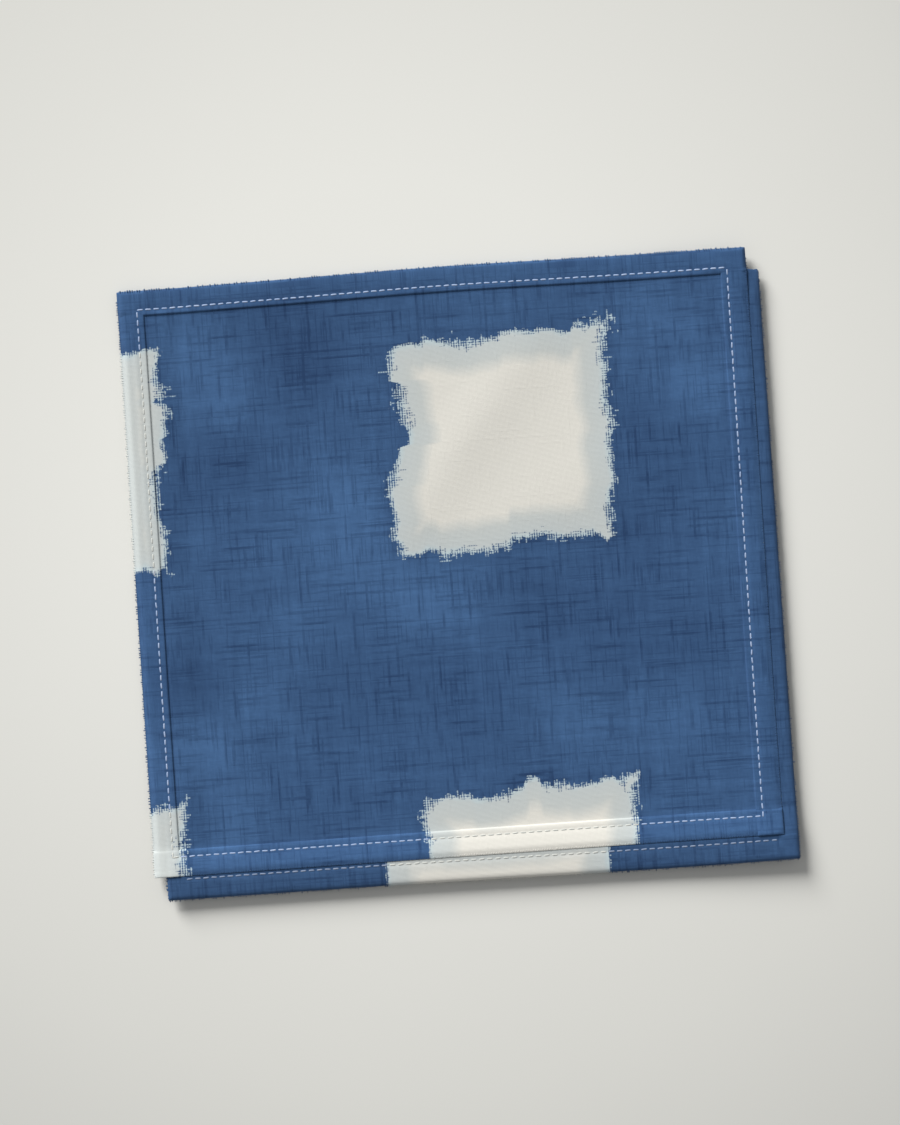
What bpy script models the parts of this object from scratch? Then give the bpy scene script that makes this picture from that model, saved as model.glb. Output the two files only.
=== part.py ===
"""Resist-dyed indigo cloth with narrow turned hems, folded once and lying flat.

The cloth is one sheet, so it is one closed body. It starts at the upper layer's near edge, runs to
the far edge, turns over there in a soft roll and comes back underneath as the lower layer. The lower
layer lies a little to the right of the upper one and comes out further at the near edge.

Lengths are in metres. +X is to the right, +Y runs from the near edge towards the fold and +Z is up.
A place on either layer is given by two lengths: "across", from the cloth's left edge, and "reach",
from the far edge of the fold. The cloth's inner face is worked out first, as the pair of surfaces
that lie against each other, and its outer face stands the local thickness away from it.
"""
import math

import bpy
import numpy as np

MM = 0.001

# ---- the sheet ----
CLOTH_WIDTH = 232.5 * MM     # between the two side edges
UPPER_LENGTH = 216.8 * MM    # upper layer, from the far edge of the fold to its near edge
LOWER_LENGTH = 225.6 * MM    # lower layer, the same way
CLOTH_THICK = 1.1 * MM       # one thickness of cloth
HEM_WIDTH = 9.6 * MM         # side hems and both near hems
HEM_THICK = 1.0 * MM         # what a turned hem adds on the outer face
CORNER_THICK = 0.5 * MM      # what a near hem adds again where it crosses a side hem
STRIP_WIDTH = 9.3 * MM       # the pressed strip along the fold, on the upper layer
STEP_RUN = 0.3 * MM          # width of the steep slope at a hem's inner edge
CORNER_RUN = 2.0 * MM        # length over which the crossing hem climbs

# ---- how the two layers lie ----
LAYER_GAP = 0.5 * MM         # between the layers where they lie flat
FOLD_GAP = 1.3 * MM          # between the layers at the fold, across its inner radius
FOLD_OPEN_RUN = 22.0 * MM    # length over which the gap opens towards the fold
ROLL_REACH = 3.0 * MM        # the layers are flat up to here, and the roll lies beyond
SETTLE_RUN = 9.0 * MM        # length over which the cloth comes down from a hem's height
OVERHANG_DROP = 0.5 * MM     # how far the left edge droops where nothing lies under it
OVERHANG_RUN = 3.9 * MM      # length over which it droops
UPPER_LEAN = -0.9 * MM       # the upper layer's near end lies this far to the side
LEAN_RUN = 190.0 * MM        # reach at which the whole lean is taken up
LOWER_SHIFT = 3.6 * MM       # the lower layer lies this far to the right
SHIFT_START = 2.0 * MM       # reach at which the lower layer starts to move across
SHIFT_RUN = 7.5 * MM         # length over which it does
LOWER_SPREAD = 0.9 * MM      # how much wider the relaxed lower layer lies

# ---- how far the edges wander from straight, as soft humps across the width ----
# Each row is a hump: its middle, its half width and how far it moves the edge towards the far side.
FOLD_HUMPS = [
    {"across": 122 * MM, "half_width": 55 * MM, "move": 0.9 * MM},
    {"across": 14 * MM, "half_width": 22 * MM, "move": -0.2 * MM},
]
LOWER_NEAR_HUMPS = [
    {"across": 190 * MM, "half_width": 75 * MM, "move": -1.0 * MM},
]

# ---- low ridges in the upper layer ----
# Each row is a soft ridge: its middle, its half length and half width, its direction turned from
# +X, and its height.
RIDGES = [
    {"across": 128 * MM, "reach": 60 * MM, "half_length": 46 * MM, "half_width": 11 * MM,
     "turn_deg": 52, "height": 0.45 * MM},
    {"across": 168 * MM, "reach": 84 * MM, "half_length": 40 * MM, "half_width": 16 * MM,
     "turn_deg": 30, "height": 0.30 * MM},
    {"across": 56 * MM, "reach": 118 * MM, "half_length": 62 * MM, "half_width": 15 * MM,
     "turn_deg": -38, "height": 0.35 * MM},
    {"across": 152 * MM, "reach": 160 * MM, "half_length": 58 * MM, "half_width": 17 * MM,
     "turn_deg": 24, "height": 0.30 * MM},
]

# ---- how finely the surfaces are divided ----
EDGE_BAND = 20.0 * MM        # a border this wide is divided finely
EDGE_PITCH = 2.6 * MM
BODY_PITCH = 20.0 * MM
ROLL_STEPS = 10


def smooth(value):
    """A soft step: 0 below 0, 1 above 1, and the cubic 3v^2 - 2v^3 between."""
    value = np.clip(value, 0.0, 1.0)
    return value * value * (3.0 - 2.0 * value)


def humps(across, rows):
    """The sum of bell-shaped humps, each exp(-(distance / half width)^2) times its move."""
    return sum(row["move"] * np.exp(-((across - row["across"]) / row["half_width"]) ** 2)
               for row in rows)


def ridges(across, reach):
    """The sum of the low ridges: bells that are long one way and narrow the other."""
    total = np.zeros(np.broadcast(across, reach).shape)
    for row in RIDGES:
        turn = math.radians(row["turn_deg"])
        right = across - row["across"]
        away = row["reach"] - reach
        lengthwise = (right * math.cos(turn) + away * math.sin(turn)) / row["half_length"]
        sideways = (away * math.cos(turn) - right * math.sin(turn)) / row["half_width"]
        total += row["height"] * np.exp(-lengthwise ** 2 - sideways ** 2)
    return total


def lower_shift(reach):
    """How far right the lower layer's left edge lies: nothing at the fold, then a soft step."""
    return LOWER_SHIFT * smooth((reach - SHIFT_START) / SHIFT_RUN)


def lower_stretch(reach):
    """The lower layer's width over the cloth's width: 1 at the fold, a little more beyond it."""
    return 1.0 + LOWER_SPREAD / CLOTH_WIDTH * smooth((reach - SHIFT_START) / SHIFT_RUN)


def lower_scale(across):
    """The lower layer's length over its named length, because its near edge and fold wander."""
    return 1.0 + (humps(across, FOLD_HUMPS) - humps(across, LOWER_NEAR_HUMPS)) / LOWER_LENGTH


def upper_place(across, reach):
    """X and Y of a place on the upper layer: it leans sideways, and the fold's humps fade out."""
    x = across + UPPER_LEAN * smooth(reach / LEAN_RUN)
    y = -reach + humps(across, FOLD_HUMPS) * (1.0 - reach / UPPER_LENGTH)
    return x, y


def lower_place(across, reach):
    """X and Y of a place on the lower layer."""
    x = lower_shift(reach) + across * lower_stretch(reach)
    y = humps(across, FOLD_HUMPS) - reach * lower_scale(across)
    return x, y


def crossing(across, from_near, soft_near):
    """How much a near hem climbs over a side hem: 1 in the corner square, 0 outside it."""
    from_side = np.minimum(across, CLOTH_WIDTH - across)
    climb = smooth((HEM_WIDTH - from_side) / CORNER_RUN)
    run = CORNER_RUN if soft_near else STEP_RUN
    return climb * smooth((HEM_WIDTH + (0.0 if soft_near else STEP_RUN) - from_near) / run)


def lower_top(across, reach):
    """Height of the lower layer's inner face: a hem's height at the hems, then down to the cloth's."""
    from_near = LOWER_LENGTH - reach
    from_side = np.minimum(across, CLOTH_WIDTH - across)
    from_edge = np.minimum(from_side, from_near)
    on_hem = 1.0 - smooth((from_edge - HEM_WIDTH) / SETTLE_RUN)
    return CLOTH_THICK + HEM_THICK * on_hem + CORNER_THICK * crossing(across, from_near, True)


def upper_bottom(across, reach):
    """Height of the upper layer's inner face.

    It is the lower layer's height under the same place, plus the gap, which opens towards the fold,
    plus the ridges, less the droop where the lower layer doesn't reach under the left edge.
    """
    x, y = upper_place(across, reach)
    under_reach = (humps(x, FOLD_HUMPS) - y) / lower_scale(x)
    under_across = (x - lower_shift(under_reach)) / lower_stretch(under_reach)
    opening = (FOLD_GAP - LAYER_GAP) * smooth(1.0 - (reach - ROLL_REACH) / FOLD_OPEN_RUN)
    droop = OVERHANG_DROP * smooth(-under_across / OVERHANG_RUN)
    return lower_top(under_across, under_reach) + LAYER_GAP + opening + ridges(across, reach) - droop


def hem_cover(across, from_near):
    """1 under a side or near hem and 0 elsewhere, with the steep slope at the inner edge."""
    from_edge = np.minimum(np.minimum(across, CLOTH_WIDTH - across), from_near)
    return 1.0 - np.clip((from_edge - HEM_WIDTH) / STEP_RUN, 0.0, 1.0)


def upper_thickness(across, reach):
    """Cloth, plus a hem or the pressed strip along the fold, plus the crossing at the corners."""
    from_near = UPPER_LENGTH - reach
    strip = 1.0 - np.clip((reach - STRIP_WIDTH) / STEP_RUN, 0.0, 1.0)
    cover = np.maximum(hem_cover(across, from_near), strip)
    return CLOTH_THICK + HEM_THICK * cover + CORNER_THICK * crossing(across, from_near, False)


def lower_thickness(across, reach):
    """Cloth, plus a hem, plus the crossing at the near corners."""
    from_near = LOWER_LENGTH - reach
    cover = hem_cover(across, from_near)
    return CLOTH_THICK + HEM_THICK * cover + CORNER_THICK * crossing(across, from_near, True)


def stations(marks, pitch):
    """Lengths from the first mark to the last, through every mark, no further apart than pitch."""
    runs = []
    for start, end in zip(marks, marks[1:]):
        count = max(1, math.ceil(abs(end - start) / pitch - 1e-9))
        runs.append(np.linspace(start, end, count, endpoint=False))
    return np.concatenate(runs + [np.array(marks[-1:])])


def border(inner_edge):
    """Stations from an edge of the cloth to the end of its finely divided border."""
    coarse = stations([0.0, inner_edge - CORNER_RUN, inner_edge], 2 * EDGE_PITCH)
    fine = stations([inner_edge + STEP_RUN, EDGE_BAND], EDGE_PITCH)
    return np.concatenate([coarse, fine])


def across_stations():
    """Stations from the left edge to the right one, fine in both borders."""
    left = border(HEM_WIDTH)
    middle = stations([EDGE_BAND, CLOTH_WIDTH - EDGE_BAND], BODY_PITCH)
    return np.concatenate([left, middle[1:-1], (CLOTH_WIDTH - left)[::-1]])


def upper_layer(across):
    """Inner and outer points of the upper layer, row by row from its near edge to the roll."""
    near = UPPER_LENGTH - border(HEM_WIDTH)
    body = stations([UPPER_LENGTH - EDGE_BAND, EDGE_BAND], BODY_PITCH)
    strip = stations([EDGE_BAND, STRIP_WIDTH + STEP_RUN], EDGE_PITCH)
    edge = stations([STRIP_WIDTH, ROLL_REACH], EDGE_PITCH)
    reach = np.concatenate([near, body[1:-1], strip, edge])[:, None]
    x, y = upper_place(across, reach)
    bottom = upper_bottom(across, reach)
    top = bottom + upper_thickness(across, reach)
    return np.stack([x, y, bottom], axis=-1), np.stack([x, y, top], axis=-1)


def roll(across):
    """Inner and outer points of the fold, a half turn from the upper layer to the lower one.

    The inner face is a half circle across the gap. The outer face stands the thickness away from
    it, and the thickness changes evenly from the upper layer's to the lower one's.
    """
    turn = np.linspace(0.0, math.pi, ROLL_STEPS + 1)[:, None]
    above = upper_thickness(across, ROLL_REACH)
    below = lower_thickness(across, ROLL_REACH)
    thickness = below + (above - below) * (1.0 + np.cos(turn)) / 2.0
    radius = FOLD_GAP / 2.0
    middle_reach = radius + (above + below) / 2.0
    x, y = upper_place(across, middle_reach)
    z = lower_top(across, ROLL_REACH) + radius
    faces = []
    for out in (np.full_like(thickness, radius), radius + thickness):
        points = [x + 0.0 * out, y + out * np.sin(turn), z + out * np.cos(turn)]
        faces.append(np.stack(points, axis=-1))
    return faces


def lower_layer(across):
    """Inner and outer points of the lower layer, row by row from the roll to its near edge."""
    moving = stations([ROLL_REACH, SHIFT_START + SHIFT_RUN], EDGE_PITCH / 2)
    body = stations([SHIFT_START + SHIFT_RUN, LOWER_LENGTH - EDGE_BAND], BODY_PITCH)
    near = (LOWER_LENGTH - border(HEM_WIDTH))[::-1]
    reach = np.concatenate([moving, body[1:-1], near])[:, None]
    x, y = lower_place(across, reach)
    top = lower_top(across, reach)
    bottom = top - lower_thickness(across, reach)
    return np.stack([x, y, top], axis=-1), np.stack([x, y, bottom], axis=-1)


def grid_faces(rows, columns, first, flip):
    """Quads over a grid of points that are numbered row by row from first."""
    row, column = np.meshgrid(np.arange(rows - 1), np.arange(columns - 1), indexing="ij")
    corner = (first + row * columns + column).ravel()
    quads = np.stack([corner, corner + 1, corner + columns + 1, corner + columns], axis=1)
    return quads[:, ::-1] if flip else quads


def rim_faces(outer, inner):
    """Quads that join a line of outer points to the line of inner points behind it."""
    return np.stack([outer[:-1], outer[1:], inner[1:], inner[:-1]], axis=1)


def cloth_mesh():
    """The closed sheet: outer face, inner face and the rims round its four edges."""
    across = across_stations()[None, :]
    layers = [upper_layer(across), roll(across), lower_layer(across)]
    inner = np.concatenate([layer[0] for layer in layers])
    outer = np.concatenate([layer[1] for layer in layers])
    rows, columns = outer.shape[:2]

    points = np.concatenate([outer.reshape(-1, 3), inner.reshape(-1, 3)])
    low, high = points.min(axis=0), points.max(axis=0)
    points -= [(low[0] + high[0]) / 2, (low[1] + high[1]) / 2, low[2]]

    number = np.arange(rows * columns).reshape(rows, columns)
    behind = number + rows * columns
    faces = np.concatenate([
        grid_faces(rows, columns, 0, flip=False),
        grid_faces(rows, columns, rows * columns, flip=True),
        rim_faces(number[0, ::-1], behind[0, ::-1]),
        rim_faces(number[-1], behind[-1]),
        rim_faces(number[:, 0], behind[:, 0]),
        rim_faces(number[::-1, -1], behind[::-1, -1]),
    ])
    mesh = bpy.data.meshes.new("cloth")
    mesh.from_pydata(points.tolist(), [], faces.tolist())
    mesh.shade_smooth()
    mesh.set_sharp_from_angle(angle=math.radians(35))
    return mesh


def indigo_cotton():
    """Indigo-dyed plain-weave cotton: deep blue, dull and not metallic."""
    material = bpy.data.materials.new("indigo_cotton")
    material.use_nodes = True
    shader = material.node_tree.nodes["Principled BSDF"]
    shader.inputs["Base Color"].default_value = (0.040, 0.090, 0.195, 1.0)
    shader.inputs["Roughness"].default_value = 0.9
    shader.inputs["Metallic"].default_value = 0.0
    return material


def main():
    for old in list(bpy.data.objects):
        bpy.data.objects.remove(old, do_unlink=True)
    mesh = cloth_mesh()
    mesh.materials.append(indigo_cotton())
    cloth = bpy.data.objects.new("cloth", mesh)
    bpy.context.scene.collection.objects.link(cloth)


main()
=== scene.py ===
"""Looks of the folded resist-dyed indigo cloth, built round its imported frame.

The cloth is one fine closed sheet: the upper layer, the roll along the far edge and the lower layer.
Round it go the sewing thread's stitches and the warp and weft threads that turn over each edge.
A place on the cloth is given by two lengths: "across", from its left edge, and "reach", from the far
edge of the fold, counted towards the near edge on the upper layer and below zero on the lower one.
"""
import math

import bpy
import numpy as np
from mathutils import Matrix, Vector


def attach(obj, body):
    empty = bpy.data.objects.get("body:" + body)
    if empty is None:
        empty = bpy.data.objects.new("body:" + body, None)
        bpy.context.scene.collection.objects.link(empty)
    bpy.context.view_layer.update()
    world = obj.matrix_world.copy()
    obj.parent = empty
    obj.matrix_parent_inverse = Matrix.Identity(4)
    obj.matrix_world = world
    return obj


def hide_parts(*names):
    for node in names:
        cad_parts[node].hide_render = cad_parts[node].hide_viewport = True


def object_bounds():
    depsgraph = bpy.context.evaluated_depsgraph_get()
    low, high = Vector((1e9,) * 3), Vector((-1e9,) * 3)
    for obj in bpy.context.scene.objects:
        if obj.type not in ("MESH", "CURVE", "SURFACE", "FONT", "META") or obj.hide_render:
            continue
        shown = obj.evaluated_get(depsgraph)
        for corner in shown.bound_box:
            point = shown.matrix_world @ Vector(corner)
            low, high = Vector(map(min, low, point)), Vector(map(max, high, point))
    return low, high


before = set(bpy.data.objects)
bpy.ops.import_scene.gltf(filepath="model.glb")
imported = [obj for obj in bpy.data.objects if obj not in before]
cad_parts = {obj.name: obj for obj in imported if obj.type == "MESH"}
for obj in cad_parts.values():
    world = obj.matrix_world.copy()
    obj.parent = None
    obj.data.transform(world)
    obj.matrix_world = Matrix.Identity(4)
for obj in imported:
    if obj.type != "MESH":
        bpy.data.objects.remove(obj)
cad_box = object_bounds()

MM = 0.001

# ---- the sheet, as the frame has it ----
CLOTH_WIDTH = 232.5 * MM
UPPER_LENGTH = 216.8 * MM
LOWER_LENGTH = 225.6 * MM
HEM_WIDTH = 9.6 * MM
STRIP_WIDTH = 9.3 * MM  # the pressed strip along the fold
ROLL_REACH = 3.0 * MM
UPPER_LEAN = -0.9 * MM
LEAN_RUN = 190.0 * MM
LOWER_SHIFT = 3.6 * MM
LOWER_SPREAD = 0.9 * MM
SHIFT_START = 7.7 * MM  # here the lower layer steps to the right, in a run this long
SHIFT_RUN = 1.2 * MM

# ---- pressed flatter than the frame's solid ----
REST_GAP = 0.27 * MM  # the stitches underneath hold the cloth this far off the table
CLOTH_THICK = 0.70 * MM
HEM_THICK = 0.50 * MM
CORNER_THICK = 0.12 * MM
CORNER_RUN = 1.5 * MM
LAYER_GAP = 0.06 * MM
FOLD_GAP = 0.7 * MM
FOLD_OPEN_RUN = 22.0 * MM
SETTLE_RUN = 9.0 * MM
OVERHANG_DROP = 0.3 * MM
OVERHANG_RUN = 3.9 * MM
RIGHT_LIFT = 2.1 * MM  # the right edge stands off the table by this much
RIGHT_LIFT_RUN = 80.0 * MM
NEAR_LIFT = 1.0 * MM  # the near edge by this, and by what the upper near hem tilts
NEAR_LIFT_RUN = 60.0 * MM
TILT_RISE = 1.35 * MM  # the upper near hem and the cloth under it tilt up by this much
TILT_START = 206.0 * MM
TILT_RUN = 10.0 * MM
PUFF = 0.65 * MM  # the lower layer swells by this much past the upper one's edges

# ---- finer shapes of the hems ----
EDGE_ROUND = 1.3 * MM  # how far in the outer edges are rounded
EDGE_THIN = 0.15  # share of a hem's height that is left at its outer edge
EDGE_THIN_RUN = 2.4 * MM
WORN_EDGE = 0.20  # share of the upper layer's own thickness that is left at its edges
LIP_ROUND = 0.55 * MM  # rounding of a hem's inner edge
NEAR_LIP_ROUND = 1.5 * MM  # the near hem's is softer
LIP_FOOT = 0.45  # share of a hem's height that drops straight down at its inner edge
STEP_RUN = 0.08 * MM  # width of that drop
CREVICE_DEEP = 0.04 * MM  # the cloth is drawn down beside a hem
CREVICE_RUN = 1.4 * MM
SEAM_DEEP = 0.14 * MM  # the stitches draw the hem down along their line
SEAM_HALF_WIDTH = 0.9 * MM

# ---- sewing ----
STITCH_PITCH = 2.985 * MM
STITCH_LENGTH = 2.25 * MM
STITCH_WIDTH = 0.60 * MM
STITCH_HIGH = 0.24 * MM
STITCH_RAISED = 0.12  # share of its height by which a stitch's middle is raised
STITCH_DRAWN = 0.35  # share by which its ends are drawn down
STITCH_SLANT = 2.5  # degrees that stitches slant, by turns to one side and the other
STITCH_WANDER = 1.5  # and their scatter
SEAM_IN = 7.2 * MM  # from the side and fold edges to the stitch line
NEAR_SEAM_IN = 7.1 * MM  # from the upper near edge
LOWER_SEAM_IN = 7.6 * MM  # from the lower near edge

# ---- weaving ----
TURNED_PAINTED_SHADE = -1.2  # painted shade: the threads turned over the edges and the fold are painted darker
LOWER_PAINTED_SHADE = -1.2  # painted shade: the lower layer, which lies under the upper one, is painted darker
SIDE_PAINTED_LIGHT = 0.3  # painted light: the side hems and the fold strip get this share of the near hem's painted light
SIDE_LIGHT_RUN = 0.3 * MM
NEAR_LIGHT_RUN = 1.2 * MM
THREAD = 0.45 * MM  # spacing of the warp threads and of the weft threads
TURN_PITCH = 2 * THREAD  # every second thread turns over the edge on top
TURN_BEND = math.radians(72.0)  # how far a turned thread goes round to each side
TURN_PROUD = (0.05, 0.70)  # least and most that it stands proud, in millimetres
TURN_THICK = (0.42, 0.56)  # least and most of its thickness, in turn pitches
TURN_TUCK = 0.06 * MM  # its ends are tucked in by this and most of its thickness
TURN_WANDER = 0.12  # scatter of its place, in turn pitches
PRESSED_SHARE = 0.2  # what is left of its standing proud where pressed down
FOLD_BEND = math.radians(60.0)  # the same along the fold
FOLD_PROUD = (-0.15, 0.45)
FOLD_THICK = (0.45, 0.70)

# Soft humps by which the fold's edge and the lower near edge wander from straight.
# Each row is its place across, half width and move.
FOLD_HUMPS = [(122 * MM, 55 * MM, 0.9 * MM), (14 * MM, 22 * MM, -0.2 * MM)]
LOWER_NEAR_HUMPS = [(190 * MM, 75 * MM, -1.0 * MM)]

# Low ridges (and troughs, where the height is below zero) in the upper layer.
RIDGES = [
    {"across": 128 * MM, "reach": 60 * MM, "half_length": 46 * MM, "half_width": 11 * MM,
     "turn_deg": 52, "height": 0.60 * MM},
    {"across": 168 * MM, "reach": 84 * MM, "half_length": 40 * MM, "half_width": 16 * MM,
     "turn_deg": 30, "height": 0.42 * MM},
    {"across": 56 * MM, "reach": 118 * MM, "half_length": 62 * MM, "half_width": 15 * MM,
     "turn_deg": -38, "height": 0.35 * MM},
    {"across": 152 * MM, "reach": 160 * MM, "half_length": 58 * MM, "half_width": 17 * MM,
     "turn_deg": 24, "height": 0.30 * MM},
]

# ---- the undyed squares, charted in millimetres ----
# Each square has four edges. "left" and "right" are rows of reach, across and comb; "far" and
# "near" are rows of across, reach and comb. The comb is how far the dyed and undyed threads run
# into each other there, to either side of the edge, which goes straight from row to row. An edge
# that lies past the cloth is a single row.
SQUARES = [
    # middle
    {"left": [(26, 103, 1), (28, 101, 1), (30, 99.6, 1.6), (36, 98.8, 1.8), (39, 98.6, 1.4),
        (40.5, 98.5, 0.7), (41.5, 101.5, 0.8), (43, 102.5, 2.4), (56, 102.5, 2.6), (58, 104, 1.8),
        (60, 104.6, 0.6), (64.6, 104.2, 0.4), (65.3, 100.8, 0.5), (69, 100.2, 0.3), (71, 99.2, 1),
        (75, 98, 2), (79, 97.6, 2.2), (80.2, 96, 1.2), (83, 95.8, 1.4), (86, 96.4, 0.7), (90, 97.4, 0.8),
        (94, 97.8, 1), (95.2, 96.5, 1.6), (98.8, 96.6, 1.6), (100, 98.4, 1.4), (104, 99.2, 1.6),
        (107, 101, 1.5)],
     "right": [(21, 180, 1.5), (24, 179.4, 2.6), (28, 178.6, 2.6), (31, 177.8, 2.4), (36, 177.5, 1.8),
        (42, 178.2, 1.2), (48, 178, 1.6), (52, 177.3, 2.2), (57, 177.8, 2.2), (60, 179, 1.6),
        (63, 179.4, 1.6), (66, 178, 1.4), (70, 177.6, 1.4), (75, 178.4, 0.9), (80, 178.8, 0.7),
        (83, 179, 0.9), (85, 177.6, 1.2), (92, 176.2, 1.6), (98, 176.2, 1.4), (102, 177, 1),
        (105, 177.5, 1.5)],
     "far": [(97, 30, 1), (99, 29.5, 1.2), (101, 28.4, 0.9), (103, 27.8, 0.5), (108, 27.6, 0.6),
        (110.5, 28.2, 1), (112, 26.4, 1.2), (115, 26.7, 0.5), (119, 27.6, 1.2), (123, 28.6, 1.8),
        (128, 29.2, 2), (132, 28.4, 1.8), (136, 28, 1.2), (139, 27.4, 0.9), (141, 25.9, 1),
        (145, 25.3, 0.9), (149, 26, 1.4), (152, 26.3, 0.8), (155, 25.2, 0.8), (160, 25.8, 0.5),
        (163, 26.9, 0.8), (166.5, 26.9, 0.3), (167.2, 24.2, 1.4), (170, 25, 1.6), (173, 24.6, 1.8),
        (176, 24.5, 2.4), (180, 24, 2.6), (183, 22.6, 1.5)],
     "near": [(96, 104, 1.5), (99, 104.6, 1.6), (103, 105.6, 0.8), (106, 105, 0.7), (108.5, 103.2, 0.7),
        (112, 104.4, 1.2), (114, 106, 2.2), (117, 105.6, 1.9), (121, 105, 1.2), (126, 105.6, 1.2),
        (130, 105, 1.6), (138.9, 104.5, 1.7), (139.4, 101.6, 1.2), (145, 101.4, 1.2), (148, 100.6, 1.2),
        (152, 100.8, 1.4), (157, 101.6, 1.2), (161, 102.2, 1.4), (166, 101.9, 1.2), (170, 101.2, 1),
        (173, 102.6, 0.8), (175, 104.6, 0.8), (177, 103, 0.8), (180, 103, 0.6)]},
    # left edge
    {"left": [(0, -3, 0.2)],
     "right": [(22, 13.4, 1.2), (25, 13.6, 1), (29, 12.6, 0.7), (32, 12.4, 1.4), (34.5, 12, 1.6),
        (36.5, 14.2, 2.6), (39.5, 14.4, 2.6), (41, 11.6, 1.6), (42, 11.2, 1.4), (43, 15.4, 1.4),
        (47, 15.4, 1.6), (50, 14.2, 1), (54, 14.6, 1.2), (55.5, 12.9, 0.6), (59, 13, 0.8),
        (62, 14.4, 0.6), (64.4, 13.8, 0.8), (65.5, 11, 2), (67.5, 10, 2.8), (70, 9.6, 1.8),
        (73, 9.6, 1.2), (84, 10, 1), (87, 11.2, 0.8), (89.5, 12, 2.4), (91, 11.8, 1), (95, 12.4, 1.1),
        (99, 11.6, 1), (102, 11.4, 0.8), (105, 11.4, 1.6)],
     "far": [(0, 23, 0.3), (3, 23.6, 1), (6, 22.8, 0.5), (9, 21.9, 0.6), (13, 22.2, 0.8)],
     "near": [(0, 104, 0.4), (2, 103.8, 0.5), (4, 102.4, 1), (6, 103.6, 1.4), (8, 105.2, 1.4),
        (10, 103.2, 0.8), (13, 104, 1.4)]},
    # near edge
    {"left": [(193, 103, 1), (195, 103, 1.2), (199, 102.2, 2.2), (200, 100.6, 1.8), (204, 100.4, 1.6),
        (207, 101.6, 1), (209, 102.2, 1.2), (211, 102.4, 1.8), (212, 102, 0.6), (216, 101.8, 0.3)],
     "right": [(189, 180.4, 0.8), (193.5, 180.6, 0.8), (195, 178.4, 1.8), (200, 178.2, 1.8),
        (206, 178.4, 1.6), (209, 179.2, 1.4), (212, 178.8, 0.8), (216, 178.4, 1)],
     "far": [(100, 197, 1), (102, 195.4, 0.8), (104, 196.4, 1.4), (106, 195.6, 0.8), (110, 194.4, 0.9),
        (114, 194.8, 1.2), (118, 194.8, 1), (120.5, 196.6, 0.5), (124, 196.2, 0.6), (129, 196.2, 1.4),
        (132, 195.6, 2), (135, 194.2, 1.4), (138.6, 192.8, 1), (139.6, 189.8, 1.2), (143.6, 190, 1.4),
        (145, 193, 1.2), (150, 193.8, 1.6), (154, 193.2, 1.6), (156, 194.4, 0.6), (160, 194, 1.2),
        (165, 193.4, 0.8), (168, 192, 0.6), (171, 191.6, 0.7), (173, 193, 1), (175, 193.2, 2.2),
        (177.5, 191.4, 1.2), (180, 190.4, 0.9), (182, 191, 0.6)],
     "near": [(0, 300, 1)]},
    # near left corner
    {"left": [(0, -3, 0.2)],
     "right": [(188, 13, 1), (191, 13, 1.2), (195, 12.6, 1.4), (197, 12.4, 1.4), (199, 12, 0.6),
        (201.5, 11, 1.6), (204, 11, 2.2), (208, 10.8, 1.8), (210, 10.8, 1.6), (212, 9.8, 1.6),
        (214, 10.8, 2), (217, 10.6, 2)],
     "far": [(0.5, 193.2, 0.8), (2.5, 191.6, 1.6), (6.5, 191.8, 1.2), (10, 191.8, 0.5), (12, 190.6, 1.4),
        (14, 190, 1.4)],
     "near": [(0, 300, 1)]},
    # lower layer, under the middle
    {"left": [(-150, 80, 1.5), (-110, 82, 1), (-60, 79, 1.5)],
     "right": [(-150, 163, 1), (-100, 161, 2), (-60, 164, 1.2)],
     "far": [(80, -148, 1.5), (120, -150, 1), (165, -147, 1.5)],
     "near": [(80, -66, 1), (120, -64, 1.6), (165, -67, 1.2)]},
    # lower layer, near edge
    {"left": [(-300, 81, 0.5)],
     "right": [(-300, 162.7, 0.5)],
     "far": [(0, -400, 1)],
     "near": [(80, -209, 1), (120, -211, 1.4), (165, -208, 1)]},
]

# ---- patches where the vat dyed the cloth lighter (above zero) or deeper ----
# Each row is across, reach and half width, in millimetres, and how much lighter.
DYE_CLOUDS = [
    (26, 23, 13, 0.8), (36, 43, 13, 0.8), (78, 88, 19, 1.0), (97, 117, 17, 0.8),
    (117, 127, 15, 0.8), (60, 127, 15, 0.5), (21, 171, 15, 0.9), (41, 154, 11, 0.6),
    (28, 199, 11, 0.6), (159, 169, 15, 0.7), (194, 171, 13, 0.6), (211, 48, 13, 0.7),
    (196, 21, 12, 0.6), (132, 11, 11, 0.3), (63, 23, 19, -0.9), (70, 36, 15, -0.6),
    (36, 65, 14, -0.9), (18, 75, 9, -0.5), (18, 147, 14, -0.9), (73, 149, 19, -0.4),
    (110, 154, 21, -0.6), (147, 127, 17, -0.5), (186, 65, 15, -0.8), (186, 100, 15, -0.8),
    (176, 137, 23, -0.7), (206, 142, 16, -0.5), (206, 78, 15, -0.4), (70, 194, 19, -0.3),
    (137, 181, 15, -0.3),
]


# ---- soft steps and humps ----

def smooth(value):
    """A soft step: 0 below 0, 1 above 1, and the cubic 3v^2 - 2v^3 between."""
    value = np.clip(value, 0.0, 1.0)
    return value * value * (3.0 - 2.0 * value)


def ramp(value, soft=0.1):
    """An even rise from 0 at 0 to 1 at 1, whose two corners are rounded like a hyperbola's."""
    return 0.5 + 0.5 * (np.sqrt(value ** 2 + soft ** 2) - np.sqrt((value - 1.0) ** 2 + soft ** 2))


def quarter(value):
    """A quarter of an ellipse: rises from 0 at 0 to 1 at 1, upright at first and level at last."""
    return np.sqrt(1.0 - (1.0 - np.clip(value, 0.0, 1.0)) ** 2)


def humps(across, rows):
    """The sum of bell-shaped humps, each exp(-(distance / half width)^2) times its move."""
    return sum(move * np.exp(-((across - middle) / half_width) ** 2)
               for middle, half_width, move in rows)


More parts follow.
